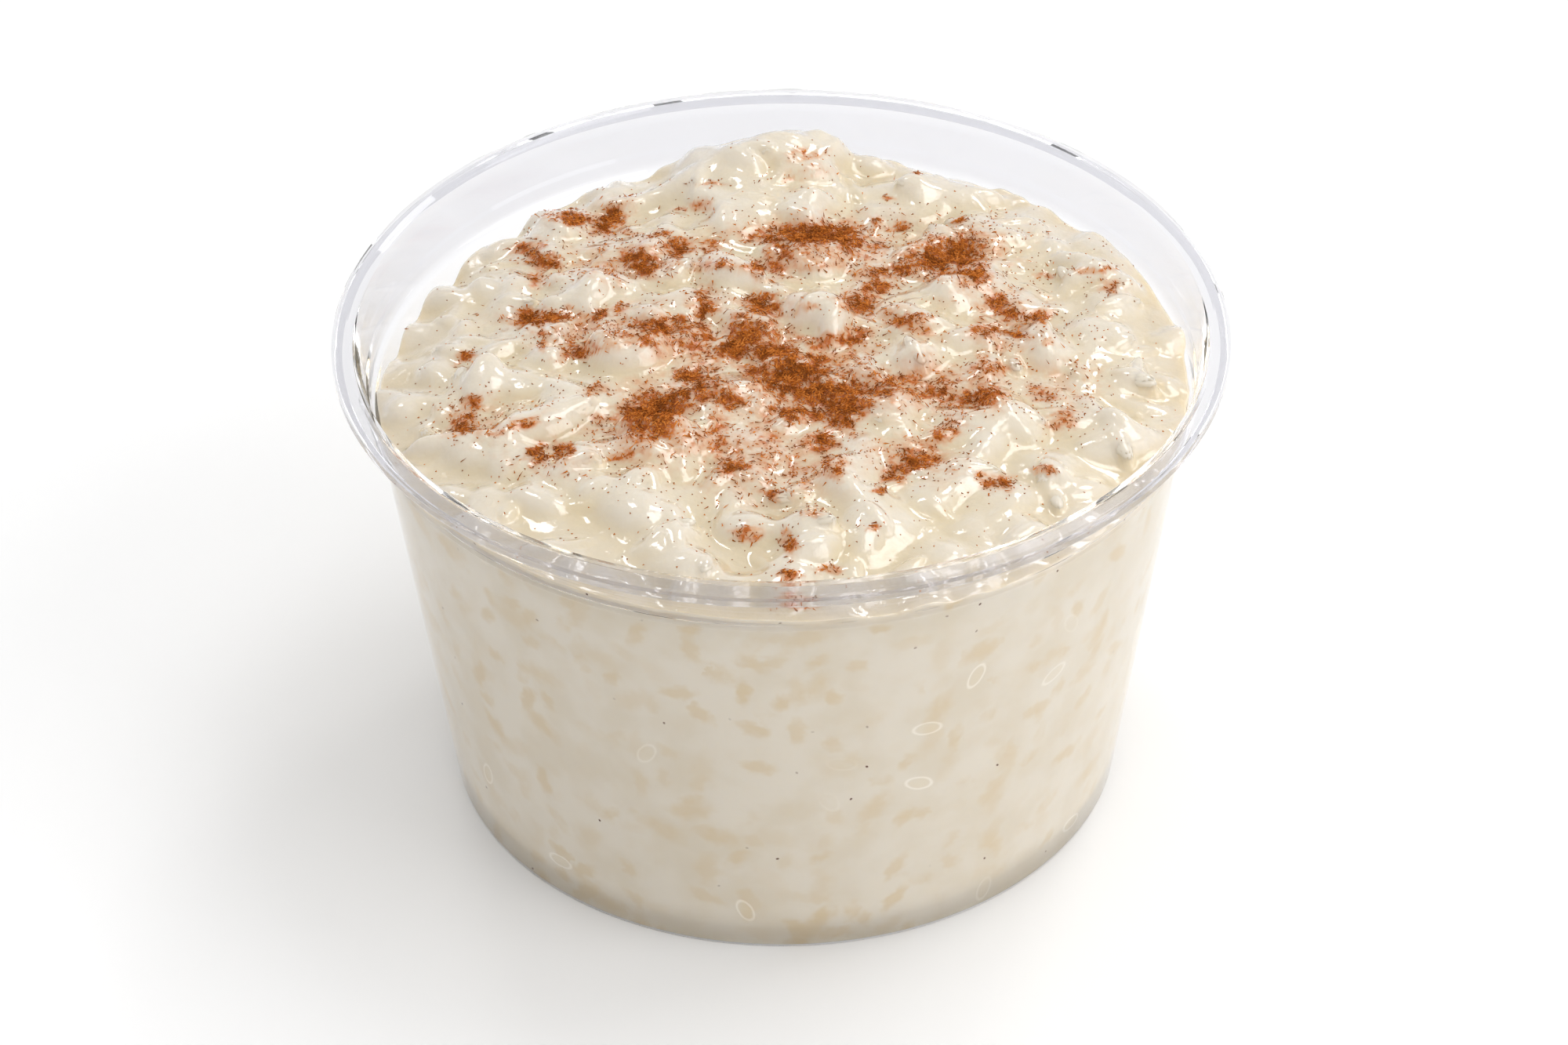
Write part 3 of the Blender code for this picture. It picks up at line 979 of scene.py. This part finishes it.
def from_mesh(nodes, name):
    """The numbers kept on the mesh under a name."""
    node = nodes.new("ShaderNodeAttribute")
    node.attribute_name = name
    return node.outputs["Fac"]


STAIN = (0.66, 0.38, 0.21)
POWDER = (0.54, 0.14, 0.016)
DEEP_POWDER = (0.30, 0.07, 0.009)


def stained(nodes, links, place, plain):
    """A colour with what the cinnamon does to it: pinkish where it is thin, then orange, then brown."""
    thick = from_mesh(nodes, "dust")
    speckle = ranged(nodes, links, cloudy(nodes, links, place, 1100, 4), 0.3, 0.7, 0.4, 1.6)
    dust = sum_of(nodes, links, "MULTIPLY", thick, speckle)
    soaked = ranged(nodes, links, thick, 0.05, 0.36, 0.0, 0.88)
    stain = colour_mix(nodes, links, soaked, plain, STAIN)
    powder = colour_mix(nodes, links, ranged(nodes, links, dust, 0.6, 1.4), POWDER, DEEP_POWDER)
    return colour_mix(nodes, links, ranged(nodes, links, dust, 0.25, 0.8), stain, powder)


# What shows through the wall: seed, cell, half length, half width, softness and raggedness, in metres
WALL_GRAINS = (
    (3.1, 0.0066, 0.0023, 0.001, 0.5, 0.0022),
    (17.7, 0.0074, 0.0028, 0.0013, 0.7, 0.0022),
    (41.3, 0.0052, 0.0014, 0.0009, 0.6, 0.0022),
)
WALL_BUBBLES = (63.9, 0.0105, 0.0015, 0.0008, 0.25, 0.0002)
WALL_SPECKS = (88.2, 0.0083, 0.00022, 0.00016, 0.3, 0.0001)


def at_the_wall(nodes, links, tree, seed, cell, length, width, soft, ragged):
    """One layer of soft ovals, from the shared group."""
    group = nodes.new("ShaderNodeGroup")
    group.node_tree = tree
    values = {"Cell": cell, "Length": length, "Width": width, "Soft": soft, "Ragged": ragged, "Seed": seed}
    for name, value in values.items():
        group.inputs[name].default_value = value
    return group


def milky(name):
    """A new material with the soft, wet look of cooked milk, still without its colour."""
    material, nodes, links = new_material(name)
    shader = nodes["Principled BSDF"]
    shader.inputs["IOR"].default_value = 1.42
    shader.subsurface_method = "BURLEY"
    shader.inputs["Subsurface Weight"].default_value = 0.85
    shader.inputs["Subsurface Radius"].default_value = (1.0, 0.8, 0.5)
    shader.inputs["Subsurface Scale"].default_value = 0.002
    shader.inputs["Coat Roughness"].default_value = 0.05
    shader.inputs["Coat IOR"].default_value = 1.6
    return material, nodes, links


CREAM = (0.73, 0.65, 0.525)
HOLLOW_CREAM_AND_SHADE = (0.68, 0.565, 0.375)


def creamy_rice():
    """Cooked milk and rice: soft, pale and wet, stained and dulled by the dust. Its hollows are yellower and
    darker, partly thin pooled cream and partly painted shade.
    """
    material, nodes, links = milky("creamy_rice")
    shader = nodes["Principled BSDF"]
    place = nodes.new("ShaderNodeTexCoord").outputs["Object"]
    cloud = cloudy(nodes, links, place, 130, 3)
    patch = ranged(nodes, links, cloud, 0.3, 0.7, -0.3, 0.3)
    depth = sum_of(nodes, links, "ADD", from_mesh(nodes, "hollow"), patch)
    # Cream in the hollows is yellower and darker: partly thin pooled cream, partly painted shade.
    cream = colour_mix(nodes, links, ranged(nodes, links, depth, -0.8, 0.9), CREAM, HOLLOW_CREAM_AND_SHADE)
    links.new(stained(nodes, links, place, cream), shader.inputs["Base Color"])
    dust = from_mesh(nodes, "dust")
    links.new(ranged(nodes, links, dust, 0.3, 0.9, 0.12, 0.6), shader.inputs["Roughness"])
    links.new(ranged(nodes, links, dust, 0.2, 0.6, 1.0, 0.0), shader.inputs["Coat Weight"])
    bumped(nodes, links, cloudy(nodes, links, place, 330, 3), 0.5, 0.0007, shader)
    return material


SHADED_SIDE_TONE = (0.605, 0.535, 0.42)
PALE_SHADED_SIDE_TONE = (0.64, 0.58, 0.48)
SIDE_GRAIN = (0.57, 0.45, 0.28)
BUBBLE_INSIDE = (0.66, 0.55, 0.36)
BUBBLE_RIM_HIGHLIGHT = (0.85, 0.80, 0.71)
DARK_SPECK = (0.09, 0.03, 0.01)


def creamy_side():
    """The same cream pressed flat by the wall, in a darker copy that is painted shade for the upright side.
    Tan grains, a few bubbles and specks show through.
    """
    material, nodes, links = milky("creamy_side")
    shader = nodes["Principled BSDF"]
    place = nodes.new("ShaderNodeTexCoord").outputs["Object"]
    cloud = cloudy(nodes, links, place, 130, 3)
    # Both side tones are the top's cream painted darker: painted shade on the upright side.
    tone = colour_mix(nodes, links, ranged(nodes, links, cloud, 0.35, 0.65), SHADED_SIDE_TONE, PALE_SHADED_SIDE_TONE)
    tree = grain_group()
    for layer in WALL_GRAINS:
        group = at_the_wall(nodes, links, tree, *layer)
        strength = ranged(nodes, links, group.outputs["Strength"], 0.1, 1.0, 0.08, 0.75)
        shown = sum_of(nodes, links, "MULTIPLY", group.outputs["Oval"], strength)
        tone = colour_mix(nodes, links, shown, tone, SIDE_GRAIN)
    # The pale ring round each bubble is a painted highlight.
    bubble = at_the_wall(nodes, links, tree, *WALL_BUBBLES)
    some = ranged(nodes, links, bubble.outputs["Strength"], 0.7, 0.75, 0.0, 0.5)
    bubble_rim_highlight = sum_of(nodes, links, "MULTIPLY", bubble.outputs["Ring"], some)
    half = sum_of(nodes, links, "MULTIPLY", some, 0.5)
    inside = sum_of(nodes, links, "MULTIPLY", bubble.outputs["Oval"], half)
    tone = colour_mix(nodes, links, inside, tone, BUBBLE_INSIDE)
    tone = colour_mix(nodes, links, bubble_rim_highlight, tone, BUBBLE_RIM_HIGHLIGHT)
    speck = at_the_wall(nodes, links, tree, *WALL_SPECKS)
    few = ranged(nodes, links, speck.outputs["Strength"], 0.45, 0.5)
    shown = sum_of(nodes, links, "MULTIPLY", speck.outputs["Oval"], few)
    tone = colour_mix(nodes, links, shown, tone, DARK_SPECK)
    links.new(stained(nodes, links, place, tone), shader.inputs["Base Color"])
    shader.inputs["Roughness"].default_value = 0.2
    return material


pudding_shape.materials.append(creamy_rice())
pudding_shape.materials.append(creamy_side())
top_faces = 6 * RINGS**2
for face in pudding_shape.polygons[top_faces:]:
    face.material_index = 1
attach(pudding, "root")
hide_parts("pudding")


# The rice
# Short grains boiled until soft, plump and a little see-through. They lie every way in the cream, and only
# the backs of the topmost come through it.
RICE = (0.715, 0.64, 0.51)
PALE_RICE = (0.74, 0.67, 0.545)


def plump_rice():
    """Cooked rice: pale, waxy and wet, hardly darker than the cream."""
    material, nodes, links = new_material("plump_rice")
    shader = nodes["Principled BSDF"]
    shader.inputs["IOR"].default_value = 1.42
    shader.inputs["Coat Roughness"].default_value = 0.05
    shader.inputs["Coat IOR"].default_value = 1.6
    place = nodes.new("ShaderNodeTexCoord").outputs["Object"]
    cloud = cloudy(nodes, links, place, 500)
    patch = ranged(nodes, links, cloud, 0.3, 0.7, -0.3, 0.3)
    tone = sum_of(nodes, links, "ADD", from_mesh(nodes, "shade"), patch)
    plain = colour_mix(nodes, links, ranged(nodes, links, tone, 0.0, 1.0), RICE, PALE_RICE)
    links.new(stained(nodes, links, place, plain), shader.inputs["Base Color"])
    dust = from_mesh(nodes, "dust")
    links.new(ranged(nodes, links, dust, 0.2, 0.6, 1.0, 0.0), shader.inputs["Coat Weight"])
    links.new(ranged(nodes, links, cloud, 0.3, 0.7, 0.08, 0.16), shader.inputs["Roughness"])
    bumped(nodes, links, cloud, 0.2, 0.0003, shader)
    return material


def piece_tree(name, numbers):
    """A new tree of nodes with named number inputs, a seed, a material, and geometry in and out."""
    tree = bpy.data.node_groups.new(name, "GeometryNodeTree")
    tree.interface.new_socket(name="Geometry", in_out="INPUT", socket_type="NodeSocketGeometry")
    group_inputs(tree, numbers)
    tree.interface.new_socket(name="Seed", in_out="INPUT", socket_type="NodeSocketInt")
    tree.interface.new_socket(name="Material", in_out="INPUT", socket_type="NodeSocketMaterial")
    tree.interface.new_socket(name="Geometry", in_out="OUTPUT", socket_type="NodeSocketGeometry")
    return tree, tree.nodes, tree.links, tree.nodes.new("NodeGroupInput")


def made_real(nodes, links, given, instances, tone):
    """Give each copy its shade, turn the copies into one mesh, and give that its material."""
    shade = nodes.new("GeometryNodeStoreNamedAttribute")
    shade.domain = "INSTANCE"
    shade.inputs["Name"].default_value = "shade"
    links.new(instances, shade.inputs["Geometry"])
    links.new(tone, shade.inputs["Value"])
    real = nodes.new("GeometryNodeRealizeInstances")
    links.new(shade.outputs["Geometry"], real.inputs["Geometry"])
    finished = nodes.new("GeometryNodeSetMaterial")
    links.new(real.outputs["Geometry"], finished.inputs["Geometry"])
    links.new(given.outputs["Material"], finished.inputs["Material"])
    links.new(finished.outputs["Geometry"], nodes.new("NodeGroupOutput").inputs["Geometry"])


def grain_tree():
    """A plump oval at every point, sized and turned by the numbers that the point carries."""
    tree, nodes, links, given = piece_tree("rice_grains", (("Plump", 1.0),))
    oval = nodes.new("GeometryNodeMeshUVSphere")
    oval.inputs["Segments"].default_value = 12
    oval.inputs["Rings"].default_value = 8
    oval.inputs["Radius"].default_value = 0.5
    kept = {}
    for name in ("size", "turn"):
        kept[name] = nodes.new("GeometryNodeInputNamedAttribute")
        kept[name].data_type = "FLOAT_VECTOR"
        kept[name].inputs["Name"].default_value = name
    plump = scaled(nodes, links, kept["size"].outputs["Attribute"], given.outputs["Plump"])
    laid = nodes.new("GeometryNodeInstanceOnPoints")
    links.new(given.outputs["Geometry"], laid.inputs["Points"])
    links.new(oval.outputs["Mesh"], laid.inputs["Instance"])
    turn = nodes.new("FunctionNodeEulerToRotation")
    links.new(kept["turn"].outputs["Attribute"], turn.inputs["Euler"])
    links.new(turn.outputs["Rotation"], laid.inputs["Rotation"])
    links.new(plump, laid.inputs["Scale"])
    chance = nodes.new("FunctionNodeRandomValue")
    links.new(given.outputs["Seed"], chance.inputs["Seed"])
    made_real(nodes, links, given, laid.outputs["Instances"], chance.outputs[1])
    return tree


def set_input(modifier, name, value):
    """Set one of a node tree's named inputs on the modifier that runs it."""
    for item in modifier.node_group.interface.items_tree:
        if item.item_type == "SOCKET" and item.in_out == "INPUT" and item.name == name:
            modifier[item.identifier] = value


def store_vectors(mesh, name, values):
    """Keep three numbers for each point of the mesh."""
    layer = mesh.attributes.new(name, "FLOAT_VECTOR", "POINT")
    layer.data.foreach_set("vector", np.asarray(values, dtype=np.float32).ravel())


grain_points = bpy.data.meshes.new("grain_points")
grain_points.from_pydata([[part * MM for part in grain["place"]] for grain in grains], [], [])
store_vectors(grain_points, "size", [[part * MM for part in grain["size"]] for grain in grains])
store_vectors(grain_points, "turn", [list(grain["turn"]) for grain in grains])
rice = bpy.data.objects.new("rice_grains", grain_points)
bpy.context.scene.collection.objects.link(rice)
laying = rice.modifiers.new("lay", "NODES")
laying.node_group = grain_tree()
set_input(laying, "Seed", 3)
set_input(laying, "Material", plump_rice())
make_plain(rice)
rice.data.shade_smooth()
rice_spots = np.array([vertex.co[:] for vertex in rice.data.vertices]) / MM
store(rice.data, "dust", dusting(rice_spots))
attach(rice, "root")


# The cinnamon
# Ground bark shaken over the top by hand: flakes and fibres a fraction of a millimetre long that lie where
# they fell, thick in the hollows behind the ridges, with loose specks that thin out towards the wall.
FLAKE_SIDES = 3
DARK_BARK = (0.25, 0.07, 0.010)
WARM_BARK = (0.47, 0.13, 0.015)
LIGHT_BARK = (0.66, 0.23, 0.045)


def cinnamon_brown():
    """Ground bark: dull rust brown, each flake a little lighter, darker or more olive than the next."""
    material, nodes, links = new_material("cinnamon")
    shader = nodes["Principled BSDF"]
    shader.inputs["Specular IOR Level"].default_value = 0.1
    place = nodes.new("ShaderNodeTexCoord").outputs["Object"]
    fleck = cloudy(nodes, links, place, 2500)
    own = ranged(nodes, links, fleck, 0.3, 0.7, -0.1, 0.1)
    clump = ranged(nodes, links, cloudy(nodes, links, place, 620, 1), 0.35, 0.65, -0.4, 0.3)
    shade = sum_of(nodes, links, "ADD", sum_of(nodes, links, "ADD", from_mesh(nodes, "shade"), own), clump)
    warm = colour_mix(nodes, links, ranged(nodes, links, shade, 0.05, 0.5), DARK_BARK, WARM_BARK)
    bark = colour_mix(nodes, links, ranged(nodes, links, shade, 0.5, 1.0), warm, LIGHT_BARK)
    links.new(bark, shader.inputs["Base Color"])
    links.new(ranged(nodes, links, fleck, 0.3, 0.7, 0.7, 0.95), shader.inputs["Roughness"])
    return material


def drawn(nodes, links, seed, offset, low, high):
    """A random number or vector for each flake, between two values."""
    node = nodes.new("FunctionNodeRandomValue")
    node.data_type = "FLOAT_VECTOR" if isinstance(low, tuple) else "FLOAT"
    links.new(sum_of(nodes, links, "ADD", seed, offset), node.inputs["Seed"])
    ends = {"Min": low, "Max": high}
    for socket in node.inputs:
        if socket.enabled and socket.name in ends:
            socket.default_value = ends[socket.name]
    return [socket for socket in node.outputs if socket.enabled][0]


def scatter_tree():
    """Flat pointed flakes strewn over a mesh as thickly as its dust numbers say, fewer where it is steep."""
    numbers = (
        ("Per square metre", 1e6),
        ("Gather", 1),
        ("Length", 0.0005),
        ("Broad", 0.5),
        ("Lift", 0.0001),
        ("Lightest", 1),
    )
    tree, nodes, links, given = piece_tree("strewn_flakes", numbers)
    chance = given.outputs["Seed"]
    dusty = nodes.new("GeometryNodeInputNamedAttribute")
    dusty.inputs["Name"].default_value = "dust"
    gathered = sum_of(nodes, links, "POWER", dusty.outputs["Attribute"], given.outputs["Gather"])
    facing = nodes.new("ShaderNodeSeparateXYZ")
    links.new(nodes.new("GeometryNodeInputNormal").outputs["Normal"], facing.inputs["Vector"])
    level = sum_of(nodes, links, "POWER", sum_of(nodes, links, "MAXIMUM", facing.outputs["Z"], 0.0), 2.0)
    caught = sum_of(nodes, links, "MULTIPLY", gathered, level)
    thickly = sum_of(nodes, links, "MULTIPLY", caught, given.outputs["Per square metre"])
    strewn = nodes.new("GeometryNodeDistributePointsOnFaces")
    links.new(given.outputs["Geometry"], strewn.inputs["Mesh"])
    links.new(thickly, strewn.inputs["Density"])
    links.new(chance, strewn.inputs["Seed"])
    lift = sum_of(nodes, links, "MULTIPLY", given.outputs["Lift"], drawn(nodes, links, chance, 3, 0.0, 1.0))
    lifted = nodes.new("GeometryNodeSetPosition")
    links.new(strewn.outputs["Points"], lifted.inputs["Geometry"])
    links.new(scaled(nodes, links, strewn.outputs["Normal"], lift), lifted.inputs["Offset"])
    flake = nodes.new("GeometryNodeMeshUVSphere")
    flake.inputs["Segments"].default_value = FLAKE_SIDES
    flake.inputs["Rings"].default_value = 2
    flake.inputs["Radius"].default_value = 0.5
    stood = nodes.new("GeometryNodeInstanceOnPoints")
    links.new(lifted.outputs["Geometry"], stood.inputs["Points"])
    links.new(flake.outputs["Mesh"], stood.inputs["Instance"])
    turn = nodes.new("FunctionNodeEulerToRotation")
    links.new(drawn(nodes, links, chance, 5, (-0.5, -0.5, 0.0), (0.5, 0.5, math.tau)), turn.inputs["Euler"])
    tumble = nodes.new("FunctionNodeRotateRotation")
    tumble.rotation_space = "LOCAL"
    links.new(strewn.outputs["Rotation"], tumble.inputs["Rotation"])
    links.new(turn.outputs["Rotation"], tumble.inputs["Rotate By"])
    links.new(tumble.outputs["Rotation"], stood.inputs["Rotation"])
    longer = drawn(nodes, links, chance, 7, 0.5, 1.6)
    length = sum_of(nodes, links, "MULTIPLY", given.outputs["Length"], longer)
    broader = drawn(nodes, links, chance, 9, 0.6, 1.2)
    breadth = sum_of(nodes, links, "MULTIPLY", given.outputs["Length"], broader)
    breadth = sum_of(nodes, links, "MULTIPLY", breadth, given.outputs["Broad"])
    size = nodes.new("ShaderNodeCombineXYZ")
    links.new(length, size.inputs["X"])
    links.new(breadth, size.inputs["Y"])
    links.new(sum_of(nodes, links, "MULTIPLY", breadth, 0.6), size.inputs["Z"])
    links.new(size.outputs["Vector"], stood.inputs["Scale"])
    lighter = drawn(nodes, links, chance, 11, 0.0, 1.0)
    tone = sum_of(nodes, links, "MULTIPLY", given.outputs["Lightest"], lighter)
    made_real(nodes, links, given, stood.outputs["Instances"], tone)
    return tree


# Each kind's numbers for the tree, in metres
CINNAMON = {
    "cinnamon_fibres": {
        "Per square metre": 2.4e7,
        "Gather": 2.4,
        "Length": 0.0009,
        "Broad": 0.3,
        "Lift": 0.00025,
        "Lightest": 1.0,
        "Seed": 4,
    },
    "cinnamon_specks": {
        "Per square metre": 3.6e6,
        "Gather": 0.9,
        "Length": 0.00036,
        "Broad": 0.85,
        "Lift": 0.00003,
        "Lightest": 0.75,
        "Seed": 9,
    },
}

strewing = scatter_tree()
bark = cinnamon_brown()
for name, settings in CINNAMON.items():
    piece = bpy.data.objects.new(name, pudding_shape)
    bpy.context.scene.collection.objects.link(piece)
    strew = piece.modifiers.new("strew", "NODES")
    strew.node_group = strewing
    for setting, value in settings.items():
        set_input(strew, setting, value)
    set_input(strew, "Material", bark)
    make_plain(piece)
    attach(piece, "root")


# The place it stands in
# A plain white sheet under soft studio light from above and from the right, seen from above the front
# edge. Two small lamps behind give the wet cream its glints.
SHEET = 3
HORIZON_GLOW = 1.05
ZENITH_GLOW = 0.64
floor_mesh = bpy.data.meshes.new("floor")
sheet_corners = [(-SHEET, -SHEET, 0), (SHEET, -SHEET, 0), (SHEET, SHEET, 0), (-SHEET, SHEET, 0)]
floor_mesh.from_pydata(sheet_corners, [], [(0, 1, 2, 3)])
floor = bpy.data.objects.new("floor", floor_mesh)
bpy.context.scene.collection.objects.link(floor)
floor_material, floor_nodes, floor_links = new_material("white_sheet")
floor_nodes["Principled BSDF"].inputs["Base Color"].default_value = (0.97, 0.97, 0.97, 1)
floor_nodes["Principled BSDF"].inputs["Roughness"].default_value = 0.8
floor_mesh.materials.append(floor_material)


def softbox(name, place, target, width, power):
    """A square soft lamp that faces a point."""
    lamp = bpy.data.lights.new(name, "AREA")
    lamp.shape = "SQUARE"
    lamp.size = width
    lamp.energy = power
    holder = bpy.data.objects.new(name, lamp)
    holder.location = place
    holder.rotation_euler = (Vector(target) - Vector(place)).to_track_quat("-Z", "Y").to_euler()
    bpy.context.scene.collection.objects.link(holder)


softbox("key", (0.36, 0.16, 0.8), (0, 0, 0.05), 0.38, 1.5)
softbox("behind_right", (0.3, 0.5, 0.62), (0, 0, 0.05), 0.14, 0.46)
softbox("behind_left", (-0.2, 0.45, 0.7), (0, 0, 0.05), 0.12, 0.38)
softbox("right_low", (1.1, -0.5, 0.7), (0, 0, 0.03), 0.9, 4.8)
softbox("front", (0, -1.2, 0.9), (0, 0, 0.03), 1.2, 0.8)

world = bpy.data.worlds.new("studio")
world.use_nodes = True
sky = world.node_tree.nodes
around = sky.new("ShaderNodeTexCoord").outputs["Generated"]
upward = sky.new("ShaderNodeSeparateXYZ")
world.node_tree.links.new(around, upward.inputs["Vector"])
glow = ranged(sky, world.node_tree.links, upward.outputs["Z"], 0.0, 1.0, HORIZON_GLOW, ZENITH_GLOW)
world.node_tree.links.new(glow, sky["Background"].inputs["Strength"])
sky["Background"].inputs["Color"].default_value = (1, 1, 1, 1)
bpy.context.scene.world = world
bpy.context.scene.view_settings.view_transform = "Standard"

CAMERA_PLACE = (0.000117, -0.57077, 0.45747)
CAMERA_DOWN = math.radians(36.46)
CAMERA_ROLL = math.radians(0.615)
CAMERA_LENS = 121.8
camera_data = bpy.data.cameras.new("camera")
camera_data.sensor_width = 36
camera_data.lens = CAMERA_LENS
camera_data.clip_start = 0.01
camera = bpy.data.objects.new("camera", camera_data)
tilt = Matrix.Rotation(math.pi / 2 - CAMERA_DOWN, 4, "X") @ Matrix.Rotation(-CAMERA_ROLL, 4, "Z")
camera.matrix_world = Matrix.Translation(CAMERA_PLACE) @ tilt
bpy.context.scene.collection.objects.link(camera)
bpy.context.scene.camera = camera
